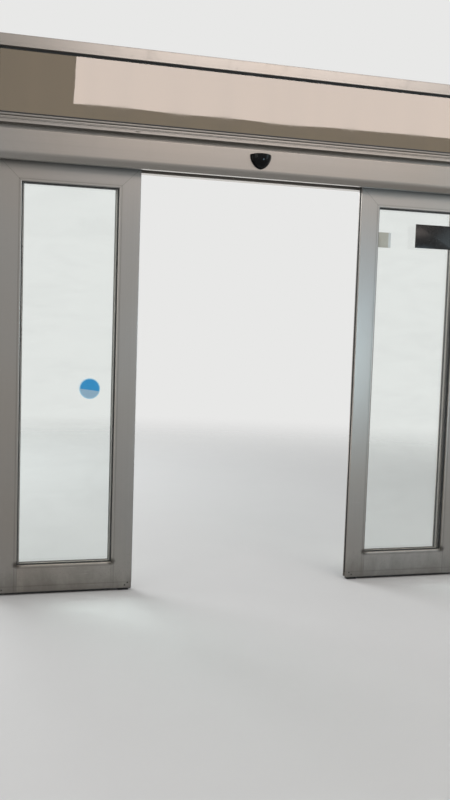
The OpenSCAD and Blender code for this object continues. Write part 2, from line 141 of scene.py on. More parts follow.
def stretched(tree, place, scale, turn=(0, 0, 0), shift=(0, 0, 0)):
    made = put(tree, "ShaderNodeMapping", {"Vector": place, "Scale": scale, "Rotation": turn,
                                           "Location": shift})
    return made.outputs[0]


def noise(tree, place, scale, detail, rough, twist=0.0, stretch=None, turn=(0, 0, 0), shift=(0, 0, 0)):
    # Where a stretch is given, the place is stretched, turned and shifted first
    if stretch:
        place = stretched(tree, place, stretch, turn, shift)
    made = put(tree, "ShaderNodeTexNoise", {"Vector": place, "Scale": scale, "Detail": detail,
                                            "Roughness": rough, "Distortion": twist})
    return made.outputs[0]


def patches(tree, place, shows, **pattern):
    # Noise that grows between the first two levels in shows, from none to full or from one to the
    # other of the two strengths that follow them
    return mapped(tree, noise(tree, place, **pattern), *shows)


def raised(tree, height, depth, under=None):
    inputs = {"Height": height, "Distance": depth}
    if under is not None:
        inputs["Normal"] = under
    return put(tree, "ShaderNodeBump", inputs).outputs[0]


def grained(tree, place, look):
    return raised(tree, noise(tree, place, **look["grain"]), look["grainDepth"])


def axisOf(tree, place, number):
    return put(tree, "ShaderNodeSeparateXYZ", {0: place}).outputs[number]


def lengthOf(tree, vector):
    return put(tree, "ShaderNodeVectorMath", {0: vector}, operation="LENGTH").outputs["Value"]


def startFinish(name):
    # An empty material: its tree, its shader, and the place on the piece
    material = bpy.data.materials.new(name)
    material.use_nodes = True
    tree = material.node_tree
    tree.nodes.clear()
    shader = put(tree, "ShaderNodeBsdfPrincipled")
    put(tree, "ShaderNodeOutputMaterial", {0: shader.outputs[0]})
    return material, tree, shader, put(tree, "ShaderNodeTexCoord").outputs["Object"]


def feed(tree, shader, **inputs):
    # Fills the shader's inputs; an underscore stands for a space
    for key, value in inputs.items():
        plug(tree, shader.inputs[key.replace("_", " ")], value)


def giveWay(tree, shader, factor, other):
    # Another shader takes over where the factor is 1
    output = next(n for n in tree.nodes if n.bl_idname == "ShaderNodeOutputMaterial")
    mixed = put(tree, "ShaderNodeMixShader", {0: factor, 1: shader.outputs[0], 2: other.outputs[0]})
    tree.links.new(mixed.outputs[0], output.inputs[0])


# Camera and studio

cameraLook = {
    "place": (-0.09094, -4.80124, 1.42815),
    "yaw": 15.7876,  # degrees to the right
    "pitch": 4.5803,  # degrees down
    "roll": 1.8836,
    "focal": 901.97,  # in pixels of the picture
    "pictureHeight": 800,
    "sensor": 36,
    "sees": (0.05, 200),  # the nearest and the furthest, in metres
}


def makeCamera(look):
    yaw, pitch, roll = (math.radians(look[key]) for key in ("yaw", "pitch", "roll"))
    ahead = Vector((math.sin(yaw) * math.cos(pitch), math.cos(yaw) * math.cos(pitch), -math.sin(pitch)))
    sideways = Vector((math.cos(yaw), -math.sin(yaw), 0))
    above = sideways.cross(ahead)
    right = sideways * math.cos(roll) + above * math.sin(roll)
    up = above * math.cos(roll) - sideways * math.sin(roll)
    data = bpy.data.cameras.new("camera")
    data.sensor_width = look["sensor"]
    data.lens = look["focal"] / look["pictureHeight"] * look["sensor"]
    data.clip_start, data.clip_end = look["sees"]
    camera = bpy.data.objects.new("camera", data)
    scene.collection.objects.link(camera)
    turn = Matrix((right, up, -ahead)).transposed().to_4x4()
    camera.matrix_world = Matrix.Translation(look["place"]) @ turn
    scene.camera = camera


studioLook = {
    "pale": (232, 232, 231),  # what the camera, glass and metal see
    "fill": (1.0, 0.99, 0.975),
    "fillStrength": 0.48,
    "floor": (216, 219, 221),
    "speck": (213, 216, 218),
    "specks": {"scale": 3.0, "detail": 6, "rough": 0.6},
    "roughness": 0.7,
    "specular": 0.1,
    "radius": 40.0,
    "sides": 96,
    "drop": 0.0004,  # how far the floor lies under the door's feet
    "fade": (3.5, 9.5),  # the floor fades out between these distances
}
# A lamp leaves out the pieces whose names end as spares says
lampLook = [
    {"name": "keyLamp", "place": (3.69, -6.20, 5.02), "aim": (3.69, 0.119, 2.06), "size": (5.2, 2.0),
     "watts": 148, "tint": (1.0, 0.86, 0.79), "mirrored": True, "spares": ()},
    {"name": "warmLamp", "place": (-5.2, -5.0, 1.9), "aim": (0.6, 0, 1.3), "size": (2.5, 3.5),
     "watts": 110, "tint": (1.0, 0.95, 0.89), "mirrored": True, "spares": ()},
    {"name": "coolLamp", "place": (9.5, -6.2, 2.7), "aim": (2.4, 0, 1.3), "size": (4.2, 4.4),
     "watts": 150, "tint": (0.70, 0.90, 1.0), "mirrored": True, "spares": ("_glass", "Floor")},
    {"name": "skyLamp", "place": (3.84, -6.0, 1.1), "aim": (2.05, 0, 1.3), "size": (1.0, 1.0),
     "watts": 52, "tint": (0.56, 0.81, 1.0), "mirrored": True,
     "spares": ("_glass", "Floor", "_cover", "_beam", "_trim", "_cap")},
    {"name": "outdoorLamp", "place": (-2.2, 5.6, 4.4), "aim": (1.4, 0, 1.5), "size": (4.0, 2.5),
     "watts": 300, "tint": (1.0, 0.99, 0.97), "mirrored": True, "spares": ()},
    {"name": "streetGlow", "place": (1.4, 5.4, 0.05), "aim": (1.4, 5.4, 4.0), "size": (7.0, 4.0),
     "watts": 190, "tint": (1.0, 0.99, 0.97), "mirrored": True, "spares": ("_glass", "Floor")},
    {"name": "groundGlow", "place": (1.4, 1.5, 0.04), "aim": (1.4, 1.5, 4.0), "size": (5.0, 2.2),
     "watts": 120, "tint": (0.97, 0.98, 1.0), "mirrored": False, "spares": ()},
]


def makeWorld(look):
    # The camera, mirrored rays and rays through glass see the pale tone, and the rest is the fill light
    world = bpy.data.worlds.new("studio")
    scene.world = world
    world.use_nodes = True
    tree = world.node_tree
    tree.nodes.clear()
    path = put(tree, "ShaderNodeLightPath")
    seen = sums(tree, "MAXIMUM", path.outputs["Is Camera Ray"], path.outputs["Is Glossy Ray"])
    seen = sums(tree, "MAXIMUM", seen, path.outputs["Is Transmission Ray"])
    fill = put(tree, "ShaderNodeBackground", {"Color": (*look["fill"], 1), "Strength": look["fillStrength"]})
    pale = put(tree, "ShaderNodeBackground", {"Color": paint(look["pale"]), "Strength": 1.0})
    mixed = put(tree, "ShaderNodeMixShader", {0: seen, 1: fill.outputs[0], 2: pale.outputs[0]})
    put(tree, "ShaderNodeOutputWorld", {0: mixed.outputs[0]})


def makeFloor(look):
    radius, sides = look["radius"], look["sides"]
    rim = []
    for i in range(sides):
        angle = math.tau * i / sides
        rim.append((radius * math.cos(angle) + middleX, radius * math.sin(angle), -look["drop"]))
    floor = meshObject("studioFloor", rim, [tuple(range(sides))])
    material, tree, shader, place = startFinish("paleFloor")
    tone = mixColour(tree, noise(tree, place, **look["specks"]), paint(look["floor"]), paint(look["speck"]))
    feed(tree, shader, Base_Color=tone, Roughness=look["roughness"], Specular_IOR_Level=look["specular"])
    away = put(tree, "ShaderNodeVectorMath", {0: place, 1: (-middleX, 0, 0)}).outputs["Vector"]
    fade = mapped(tree, lengthOf(tree, away), *look["fade"], kind="SMOOTHSTEP")
    giveWay(tree, shader, fade, put(tree, "ShaderNodeBsdfTransparent"))
    floor.data.materials.append(material)
    return floor


def makeLamp(look, floor):
    data = bpy.data.lights.new(look["name"], "AREA")
    data.shape = "RECTANGLE"
    data.size, data.size_y = look["size"]
    data.energy = look["watts"]
    data.color = look["tint"]
    lamp = bpy.data.objects.new(look["name"], data)
    scene.collection.objects.link(lamp)
    toward = Vector(look["aim"]) - Vector(look["place"])
    turn = toward.to_track_quat("-Z", "Y").to_matrix().to_4x4()
    lamp.matrix_world = Matrix.Translation(look["place"]) @ turn
    lamp.visible_camera = False
    lamp.visible_transmission = False
    lamp.visible_glossy = look["mirrored"]
    if look["spares"]:
        spared = bpy.data.collections.new("spared." + look["name"])
        for name, thing in [*nodes.items(), (floor.name, floor)]:
            if name.endswith(look["spares"]):
                spared.objects.link(thing)
        for member in spared.collection_objects:
            member.light_linking.link_state = "EXCLUDE"
        lamp.light_linking.receiver_collection = spared


# Satin anodised aluminium, drawn along the profile

aluminiumLook = {
    "warm": (138, 132, 125),
    "cool": (138, 136, 133),
    "clouds": {"scale": 0.9, "detail": 2, "rough": 0.45, "twist": 0.3, "stretch": (1, 1, 1)},
    "cloudShows": (0.3, 0.7),
    "cloudDepth": 0.0012,  # metres, as the other depths
    "hairs": (1700, 4, 0.6),  # scale across the profile, scale along it, and roughness of the pattern
    "streaks": (150, 0.25, 0.55),
    "lineShows": (0.3, 0.7),
    "lineShade": 0.035,
    "seedShift": (3.1, 1.7, 2.3),
    "batch": 0.03,  # how much one profile differs from the next
    "grain": {"scale": 900, "detail": 2, "rough": 0.5},
    "grainShare": 0.3,
    "lineDepth": 0.00005,
    "roughness": 0.27,
    "hairDulls": 0.08,
    "metallic": 0.8,
    "index": 1.5,
    "smear": (104, 98, 90),
    "smears": {"shows": (0.55, 0.78), "scale": 6.5, "detail": 5, "rough": 0.6, "twist": 1.4,
               "stretch": (1, 1, 0.6), "turn": (0.3, 0.5, 0.2)},
    "smearShade": 0.07,
    "smearDulls": 0.07,
    "dust": (138, 130, 119),
    "dusting": {"shows": (0.25, 0.7, 0.3, 0.9), "scale": 22, "detail": 4, "rough": 0.6},
    "dustOn": (0.6, 0.95),  # how far a face has to look up
    "dustRoughness": 0.9,
    "scuff": (186, 184, 180),
    "scratches": {"shows": (0.68, 0.74), "scale": 1, "detail": 2, "rough": 0.5,
                  "stretch": (7, 7, 380), "turn": (0.12, 0.08, 0)},
    "worn": {"shows": (0.48, 0.62), "scale": 3.4, "detail": 2, "rough": 0.5},
    "wornUpTo": (0.15, 0.9, 1, 0),  # metres above the floor: full below the first, none above the second
    "scuffShade": 0.5,
    "scuffSinks": 0.5,  # in line depths, as dentSinks
    "grime": (74, 69, 62),
    "grimeHeight": 0.17,
    "grimeRagged": 0.30,
    "grimeShade": 0.75,
    "climb": {"scale": 1, "detail": 5, "rough": 0.68, "stretch": (6, 6, 3)},
    "specks": {"shows": (0.63, 0.7), "scale": 240, "detail": 2, "rough": 0.5},
    "specksUpTo": (0.30, 0.02, 0, 0.8),
    "grimeDulls": 0.3,
    "grimeHides": 0.7,  # share of the metal under it
    "creaseEdge": (0.00066, 0.0044),  # full within the first distance, none past the second
    "creaseShade": 0.34,
    "creaseDirt": {"shows": (0.3, 0.7, 0.6, 1.0), "scale": 14, "detail": 3, "rough": 0.6},
    "joint": (44, 41, 37),
    "jointEdge": (0.0003, 0.00072),
    "jointShade": 0.75,
    "dent": (52, 47, 41),
    "dentEdge": (0.9, 1.5),
    "dentRagged": {"scale": 180, "detail": 3, "rough": 0.6},
    "dentRaggedBy": 0.9,
    "dentSinks": 3.0,
}


def planeLine(tree, place, plane, edge, most):
    # Full on a plane, fading out to both sides of it
    direction, distance = plane
    off = put(tree, "ShaderNodeVectorMath", {0: place, 1: direction}, operation="DOT_PRODUCT")
    off = sums(tree, "ABSOLUTE", sums(tree, "SUBTRACT", off.outputs["Value"], distance))
    return mapped(tree, off, *edge, most, 0, "SMOOTHSTEP")


def aluminium(name, look, along, seed, wearAndShade, low):
    # along is the profile's axis. The places of wear and shade hold joints, the planes where two profiles
    # meet, creases, the planes along a groove darkened by painted shade with some dirt, and marks, which are
    # dents or caked dirt (place, size, shade)
    material, tree, shader, place = startFinish(name)
    joints, creases, marks = wearAndShade
    shift = tuple(seed * step for step in look["seedShift"])
    batch = 1 + look["batch"] * random.Random(seed).uniform(-1, 1)

    def drawn(fine, slow, rough):
        stretch = [fine] * 3
        stretch["XYZ".index(along)] = slow
        return noise(tree, place, scale=1, detail=3, rough=rough, stretch=stretch, shift=shift)

    hairs = drawn(*look["hairs"])
    lines = mixValue(tree, 0.5, hairs, drawn(*look["streaks"]))
    clouds = noise(tree, place, **look["clouds"], shift=shift)
    cloudy = mapped(tree, clouds, *look["cloudShows"])
    tone = mixColour(tree, cloudy, paint(look["warm"]), paint(look["cool"]))
    darker = mapped(tree, lines, *look["lineShows"], batch - look["lineShade"], batch + look["lineShade"])
    tone = put(tree, "ShaderNodeVectorMath", {0: tone, "Scale": darker}, operation="SCALE").outputs[0]

    # Hand marks and wiped patches dull the shine a little
    smears = patches(tree, place, **look["smears"], shift=shift)
    dulled = sums(tree, "MULTIPLY_ADD", smears, look["smearDulls"], look["roughness"])
    dulled = sums(tree, "MULTIPLY_ADD", hairs, look["hairDulls"], dulled)
    tone = mixColour(tree, sums(tree, "MULTIPLY", smears, look["smearShade"]), tone, paint(look["smear"]))

    # Dust settles on what faces up
    upward = axisOf(tree, put(tree, "ShaderNodeNewGeometry").outputs["True Normal"], 2)
    dusty = sums(tree, "MULTIPLY", mapped(tree, upward, *look["dustOn"]),
                 patches(tree, place, **look["dusting"]))
    bare = sums(tree, "SUBTRACT", 1.0, dusty)
    height = mixValue(tree, look["grainShare"], lines, noise(tree, place, **look["grain"]))
    if low:
        # Scuffs from trolleys
        level = axisOf(tree, place, 2)
        worn = sums(tree, "MULTIPLY", patches(tree, place, **look["scratches"], shift=shift),
                    patches(tree, place, **look["worn"]))
        worn = sums(tree, "MULTIPLY", worn, mapped(tree, level, *look["wornUpTo"]))
        tone = mixColour(tree, sums(tree, "MULTIPLY", worn, look["scuffShade"]), tone, paint(look["scuff"]))
        height = sums(tree, "MULTIPLY_ADD", worn, -look["scuffSinks"], height)

        # The dirt that climbs from the floor
        climb = noise(tree, place, **look["climb"], shift=shift)
        climb = sums(tree, "MULTIPLY_ADD", climb, -look["grimeRagged"], level)
        splash = mapped(tree, climb, look["grimeHeight"] - look["grimeRagged"] / 2, -look["grimeHeight"],
                        0, look["grimeShade"], "SMOOTHSTEP")
        specks = sums(tree, "MULTIPLY", patches(tree, place, **look["specks"]),
                      mapped(tree, level, *look["specksUpTo"]))
        soiled = sums(tree, "MAXIMUM", splash, specks)
        tone = mixColour(tree, soiled, tone, paint(look["grime"]))
        dulled = sums(tree, "MULTIPLY_ADD", soiled, look["grimeDulls"], dulled)
        clean = sums(tree, "SUBTRACT", 1.0, sums(tree, "MULTIPLY", soiled, look["grimeHides"]))
        bare = sums(tree, "MULTIPLY", bare, clean)
    tone = mixColour(tree, dusty, tone, paint(look["dust"]))
    dulled = mixValue(tree, dusty, dulled, look["dustRoughness"])

    # Groove lines are darkened: painted shade there, with patchy dirt along it
    for plane in creases:
        line = planeLine(tree, place, plane, look["creaseEdge"], look["creaseShade"])
        shadedGroove = sums(tree, "MULTIPLY", line, patches(tree, place, **look["creaseDirt"]))
        tone = mixColour(tree, shadedGroove, tone, paint(look["grime"]))
    for plane in joints:
        line = planeLine(tree, place, plane, look["jointEdge"], look["jointShade"])
        tone = mixColour(tree, line, tone, paint(look["joint"]))
    for spot, size, shade in marks:
        off = put(tree, "ShaderNodeVectorMath", {0: place, 1: spot}, operation="SUBTRACT").outputs[0]
        off = lengthOf(tree, stretched(tree, off, tuple(1 / side for side in size)))
        ragged = noise(tree, place, **look["dentRagged"])
        ragged = sums(tree, "MULTIPLY_ADD", ragged, look["dentRaggedBy"], off)
        dent = mapped(tree, ragged, *look["dentEdge"], shade, 0)
        tone = mixColour(tree, dent, tone, paint(look["dent"]))
        height = sums(tree, "MULTIPLY_ADD", dent, -look["dentSinks"], height)
    soft = raised(tree, clouds, look["cloudDepth"])
    feed(tree, shader, Base_Color=tone, Roughness=dulled, IOR=look["index"],
         Metallic=sums(tree, "MULTIPLY", bare, look["metallic"]),
         Normal=raised(tree, height, look["lineDepth"], soft))
    return material


def across(direction, point):
    # The plane through a point, square to a direction
    direction = Vector(direction).normalized()
    return tuple(direction), direction.dot(Vector(point))


def uprightAt(x):
    return across((1, 0, 0), (x, 0, 0))


def levelAt(z):
    return across((0, 0, 1), (0, 0, z))


def mitre(first, second):
    # The plane through two points (x, z), square to the door
    return across((second[1] - first[1], 0, first[0] - second[0]), (first[0], 0, first[1]))


profileLook = {
    "upright": ("post", "side_inner_stile", "side_outer_stile", "leaf_leading_stile", "leaf_trailing_stile"),
    "level": ("transom_beam", "transom_trim", "head_rail", "side_top_rail", "side_bottom_rail",
              "header_beam", "header_cover", "end_cap", "leaf_top_rail", "leaf_bottom_rail"),
    "bead": 0.014,  # the glazing bead's width
    "shoe": 0.032,  # the shoe line's height above a leaf's foot
    "soiledUnder": 0.5,  # a profile that starts below this height is scuffed and dirty
    "trimDent": (-0.648, 2.424),  # x from the opening's middle, and z
    "trimDentForm": ((0.017, 0.004, 0.0032), 0.85),  # size and shade
    "cornerDirtLift": 0.004,  # above the bottom rail
    "cornerDirtForm": ((0.026, 0.008, 0.022), 0.8),
}


def wearAndShadePlaces(name, kind, look):
    # Where a profile meets its neighbours, where its grooves get painted shade and some dirt, and where it
    # is marked
    low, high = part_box(name)
    side = name.split("_")[0]
    joints, creases, marks = [], [], []
    if "stile" in kind:
        group = side + ("_leaf" if "leaf" in kind else "_side")
        top, bottom, pane = (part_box(group + end) for end in ("_top_rail", "_bottom_rail", "_glass"))
        towardGlass = 1 if (pane[0] + pane[1]).x > (low + high).x else -1
        inner, outer = (high.x, low.x) if towardGlass > 0 else (low.x, high.x)
        creases = [uprightAt(inner - towardGlass * look["bead"])]
        if "leaf" in kind:
            joints = [mitre((inner, top[0].z), (outer, high.z))]
            creases.append(levelAt(low.z + look["shoe"]))
            marks = [((inner, low.y, bottom[1].z + look["cornerDirtLift"]), *look["cornerDirtForm"])]
    elif kind == "leaf_top_rail":
        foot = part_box(side + "_leaf_bottom_rail")
        joints = [mitre((foot[0].x, low.z), (low.x, high.z)), mitre((foot[1].x, low.z), (high.x, high.z))]
        creases = [levelAt(low.z + look["bead"])]
    elif kind.endswith("_rail") or kind in ("transom_beam", "transom_trim"):
        joints = [uprightAt(low.x), uprightAt(high.x)]
        if kind == "side_top_rail":
            creases = [levelAt(low.z + look["bead"])]
        if kind.endswith("_bottom_rail"):
            creases = [levelAt(high.z - look["bead"])]
        if kind == "leaf_bottom_rail":
            creases.append(levelAt(low.z + look["shoe"]))
            marks = [((end, low.y, high.z + look["cornerDirtLift"]), *look["cornerDirtForm"])
                     for end in (low.x, high.x)]
        if kind == "transom_trim":
            x, z = look["trimDent"]
            marks = [((x + middleX, low.y, z), *look["trimDentForm"])]
    return joints, creases, marks


def dress(name, material):
    nodes[name].data.materials.clear()
    nodes[name].data.materials.append(material)


def dressAluminium(look, profiles):
    count = 0
    for name in sorted(nodes):
        sided = name.startswith(("left_", "right_"))
        kind = name.split("_", 1)[1] if sided else name
        if kind not in profiles["upright"] + profiles["level"]:
            continue
        count += 1
        along = "Z" if kind in profiles["upright"] else "X"
        wearAndShade = wearAndShadePlaces(name, kind, profiles)
        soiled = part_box(name)[0].z < profiles["soiledUnder"]
        dress(name, aluminium("aluminium." + name, look, along, count, wearAndShade, soiled))
    print("aluminium profiles:", count)


# Glass, rubber, plastic and zinc

glassLook = {
    "tone": (251, 253, 252),
    "marked": (248, 250, 249),
    "marks": {"shows": (0.45, 0.72), "scale": 1, "detail": 4, "rough": 0.6, "twist": 1.1,
              "stretch": (2.2, 2.2, 7), "turn": (0, 0.5, 0)},
    "index": 1.5,
    "roughness": 0.0,
    "haze": 0.008,
    "shade": (0.9, 0.93, 0.92),
}
# The pane's dark bronze tone is painted shade: it stands in for the dark space behind the pane
bronzeShadeLook = {  # the bronze pane of the light above the door, with upright run marks and a slight wave
    "tone": (107, 89, 61),
    "marked": (99, 82, 55),
    "marks": {"shows": (0.35, 0.7), "scale": 1, "detail": 3, "rough": 0.55, "twist": 0.3,
              "stretch": (7, 7, 0.5)},
    "wave": {"scale": 1, "detail": 1, "rough": 0.4, "stretch": (1.6, 1.6, 3.5)},
    "waveDepth": 0.0006,
    "index": 1.94,
    "roughness": 0.006,
    "haze": 0.03,
    "shade": (0.22, 0.17, 0.12),
}


def glassFinish(name, look, seed):
    material, tree, shader, place = startFinish(name)
    marks = patches(tree, place, **look["marks"], shift=(seed * 2.9, seed * 1.3, seed * 4.1))
    feed(tree, shader, Base_Color=mixColour(tree, marks, paint(look["tone"]), paint(look["marked"])),
         Roughness=sums(tree, "MULTIPLY_ADD", marks, look["haze"], look["roughness"]),
         Transmission_Weight=1.0, IOR=look["index"])
    if "wave" in look:
        wave = noise(tree, place, **look["wave"])
        feed(tree, shader, Normal=raised(tree, wave, look["waveDepth"]))
    # Lamps shine straight through, as they do through thin flat glass
    path = put(tree, "ShaderNodeLightPath")
    through = put(tree, "ShaderNodeBsdfTransparent", {0: (*look["shade"], 1)})
    giveWay(tree, shader, path.outputs["Is Shadow Ray"], through)
    return material


rubberLook = {
    "tone": (13, 13, 14),
    "faded": (30, 30, 30),
    "mottle": {"scale": 30, "detail": 4, "rough": 0.6},
    "mottleShows": (0.4, 0.8),
    "mottleDulls": 0.2,
    "grain": {"scale": 2200, "detail": 2, "rough": 0.5},
    "grainDepth": 0.00008,
    "roughness": 0.5,
}


def blackRubber(name, look):
    material, tree, shader, place = startFinish(name)
    mottle = noise(tree, place, **look["mottle"])
    faded = mapped(tree, mottle, *look["mottleShows"])
    feed(tree, shader, Base_Color=mixColour(tree, faded, paint(look["tone"]), paint(look["faded"])),
         Roughness=sums(tree, "MULTIPLY_ADD", mottle, look["mottleDulls"], look["roughness"]),
         Normal=grained(tree, place, look))
    return material


plasticLook = {
    "tone": (22, 22, 24),
    "scuff": (84, 80, 76),
    "scuffs": {"shows": (0.62, 0.74), "scale": 1, "detail": 3, "rough": 0.6, "stretch": (300, 40, 300)},
    "scuffShade": 0.7,
    "scuffDulls": 0.25,
    "grain": {"scale": 1600, "detail": 2, "rough": 0.5},
    "grainDepth": 0.00007,
    "roughness": 0.42,
}


def scuffedPlastic(name, look):
    material, tree, shader, place = startFinish(name)
    scuffs = patches(tree, place, **look["scuffs"])
    scuffed = sums(tree, "MULTIPLY", scuffs, look["scuffShade"])
    feed(tree, shader, Base_Color=mixColour(tree, scuffed, paint(look["tone"]), paint(look["scuff"])),
         Roughness=sums(tree, "MULTIPLY_ADD", scuffs, look["scuffDulls"], look["roughness"]),
         Normal=grained(tree, place, look))
    return material


zincLook = {
    "zinc": (150, 150, 152),
    "spangle": (126, 128, 134),
    "spangleScale": 150.0,
    "grease": (40, 34, 26),
    "greasy": {"shows": (0.55, 0.7, 0, 0.6), "scale": 45, "detail": 4, "rough": 0.6},
    "greaseDulls": 0.2,
    "grain": {"scale": 700, "detail": 3, "rough": 0.5},
    "grainDepth": 0.00008,
    "roughness": 0.34,
    "metallic": 0.95,
    "tyre": (46, 46, 48),
    "tyreRoughness": 0.5,
    "tyreFromBack": (0.0202, 0.0198),  # the wheels begin here, from the carriage's outdoor side
    "tyreFromFoot": (0.0165, 0.017),
}


def zincFinish(name, look, wheelsIn=None):
    # Zinc plate with spangle and grease. On a carriage the wheels beside the plate are dark nylon
    material, tree, shader, place = startFinish(name)
    spangle = put(tree, "ShaderNodeTexVoronoi", {"Vector": place, "Scale": look["spangleScale"]})
    spangle = axisOf(tree, spangle.outputs["Color"], 0)
    tone = mixColour(tree, spangle, paint(look["zinc"]), paint(look["spangle"]))
    shine, metal = look["roughness"], look["metallic"]
    if wheelsIn:
        low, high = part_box(wheelsIn)
        behind = mapped(tree, axisOf(tree, place, 1), *(high.y - far for far in look["tyreFromBack"]))
        lifted = mapped(tree, axisOf(tree, place, 2), *(low.z + far for far in look["tyreFromFoot"]))
        wheel = sums(tree, "MULTIPLY", behind, lifted)
        tone = mixColour(tree, wheel, tone, paint(look["tyre"]))
        shine = mixValue(tree, wheel, shine, look["tyreRoughness"])
        metal = sums(tree, "MULTIPLY_ADD", wheel, -metal, metal)
    greasy = patches(tree, place, **look["greasy"])
    feed(tree, shader, Base_Color=mixColour(tree, greasy, tone, paint(look["grease"])), Metallic=metal,
         Roughness=sums(tree, "MULTIPLY_ADD", greasy, look["greaseDulls"], shine),
         Normal=grained(tree, place, look))
    return material


def dressRest():
    rubber = blackRubber("blackRubber", rubberLook)
    plastic = scuffedPlastic("blackPlastic", plasticLook)
    for number, name in enumerate(sorted(nodes)):
        # The light above the door gets the bronze pane, whose dark tone is painted shade
        if name == "transom_glass":
            dress(name, glassFinish("solarGlass", bronzeShadeLook, 0))
        elif name.endswith("_glass"):
            dress(name, glassFinish("glass." + name, glassLook, number))
        elif name.endswith(("_gasket", "_seal")):
            dress(name, rubber)
        elif name.endswith("_guide"):
            dress(name, plastic)
        elif name.endswith("_carriage"):
            dress(name, zincFinish("carriage." + name, zincLook, name))
    print("glass, rubber, plastic and zinc done")


# Motion sensor: a matt flange and a gloss dome with a seam round its lens

sensorLook = {
    "sides": 80,
    "rings": 22,
    "flange": 0.005,
    "rim": ((0, 1), (0.0038, 1), (0.0047, 0.992), (0.005, 0.982), (0.005, 0.964)),  # out, share of the width
    "groove": 0.0016,
    "grooveShares": (0.958, 0.944),
    "step": 0.0002,  # from the flange out to the dome
    "shoulder": 0.938,  # the dome's share of the flange's width
    "fullness": 0.8,  # under 1, the dome is fuller than a ball
    "lensFrom": 52,  # where the lens begins, in degrees from the wall to the dome's nose
    "seam": 0.0009,
    "seamShare": 0.0036,
    "arch": 0.11,  # share of the height that the arched top takes
    "taper": 1.2,  # how the sides run to the nose
    "sharpest": 34,
    "tone": (6, 6, 7),
    "dust": (70, 68, 64),
    "dusting": {"shows": (0.6, 0.72, 0, 0.25), "scale": 420, "detail": 3, "rough": 0.6},
    "glossFrom": (0.0046, 0.0062),  # out from the wall
    "matt": 0.5,
    "gloss": 0.09,
    "haze": {"shows": (0.45, 0.75), "scale": 1, "detail": 4, "rough": 0.6, "twist": 0.8,
             "stretch": (30, 30, 60)},
    "hazeDulls": 0.08,
    "grain": {"scale": 1900, "detail": 2, "rough": 0.5},
    "grainDepth": (0.00006, 0.000004),  # on the flange and on the dome
    "index": 1.22,
}


def sensorSteps(look, depth):
    # The shell from the wall to the nose, as (out, share of the width)
    flange, shoulder = look["flange"], look["shoulder"]
    steps = [*look["rim"], *((flange - look["groove"], share) for share in look["grooveShares"])]
    steps.append((flange + look["step"], shoulder))
    for k in range(1, look["rings"]):
        angle = 90 * k / look["rings"]
        out = flange + (depth - flange) * math.sin(math.radians(angle))
        share = shoulder * math.cos(math.radians(angle)) ** look["fullness"]
        if abs(angle - look["lensFrom"]) < 90 / look["rings"] / 2:
            out -= look["seam"]
            share -= look["seamShare"]
        steps.append((out, share))
    return steps


def makeSensor(look):
    low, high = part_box("motion_sensor")
    width, depth, height = high.x - low.x, high.y - low.y, high.z - low.z
    start = Vector(((low.x + high.x) / 2, high.y, high.z - look["arch"] * height))
    shell = bmesh.new()
    rings = []
    for out, share in sensorSteps(look, depth):
        ring = []
        for i in range(look["sides"]):
            angle = math.tau * i / look["sides"]
            x, z = math.cos(angle), math.sin(angle)
            if z > 0:
                z *= look["arch"] * height
            else:
                x, z = math.copysign(abs(x) ** look["taper"], x), z * (1 - look["arch"]) * height
            ring.append(shell.verts.new(start + Vector((x * width / 2 * share, -out, z * share))))
        rings.append(ring)
    nose = shell.verts.new(start + Vector((0, -depth, 0)))
    shell.faces.new(rings[0])
    joinRings(shell, rings)
    for i in range(look["sides"]):
        shell.faces.new((rings[-1][i], rings[-1][(i + 1) % look["sides"]], nose))
    sensor = finishMesh("sensorShell", shell, look["sharpest"])

    material, tree, shader, place = startFinish("sensorPlastic")
    dome = mapped(tree, sums(tree, "SUBTRACT", high.y, axisOf(tree, place, 1)), *look["glossFrom"])
    haze = patches(tree, place, **look["haze"])
    gloss = sums(tree, "MULTIPLY_ADD", haze, look["hazeDulls"], look["gloss"])
    dusty = patches(tree, place, **look["dusting"])
    grain = noise(tree, place, **look["grain"])
    feed(tree, shader, Base_Color=mixColour(tree, dusty, paint(look["tone"]), paint(look["dust"])),
         Roughness=mixValue(tree, dome, look["matt"], gloss), IOR=look["index"],
         Normal=raised(tree, grain, mixValue(tree, dome, *look["grainDepth"])))
    sensor.data.materials.append(material)
    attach(sensor, "frame")
    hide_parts("motion_sensor")
    print("motion sensor done")


# Geometry Nodes: screws, and the brush under each leaf

def startTree(name, **sockets):
    # A geometry tree with named inputs. An underscore in a name stands for a space
    tree = bpy.data.node_groups.new(name, "GeometryNodeTree")
    tree.interface.new_socket(name="Geometry", in_out="OUTPUT", socket_type="NodeSocketGeometry")
    for label, kind in {"Geometry": "Geometry", **sockets}.items():
        label = label.replace("_", " ")
        tree.interface.new_socket(name=label, in_out="INPUT", socket_type="NodeSocket" + kind)
    return tree, put(tree, "NodeGroupInput").outputs


def triple(tree, x=0.0, y=0.0, z=0.0):
    return put(tree, "ShaderNodeCombineXYZ", {0: x, 1: y, 2: z}).outputs[0]


def endTree(tree, instances, finish):
    solid = put(tree, "GeometryNodeRealizeInstances", {0: instances})
    flat = put(tree, "GeometryNodeSetShadeSmooth", {0: solid.outputs[0], 2: False})
    dressed = put(tree, "GeometryNodeSetMaterial", {"Geometry": flat.outputs[0], "Material": finish})
    put(tree, "NodeGroupOutput", {0: dressed.outputs[0]})


def grow(base, tree, values):
    # Runs a tree on a mesh and keeps the result as a plain mesh
    modifier = base.modifiers.new("grow", "NODES")
    modifier.node_group = tree
    for socket in tree.interface.items_tree:
        if socket.item_type == "SOCKET" and socket.in_out == "INPUT" and socket.name in values:
            modifier[socket.identifier] = values[socket.name]
    grown = bpy.data.meshes.new_from_object(base.evaluated_get(bpy.context.evaluated_depsgraph_get()))
    base.modifiers.remove(modifier)
    base.data = grown
    grown.name = base.name
    return base


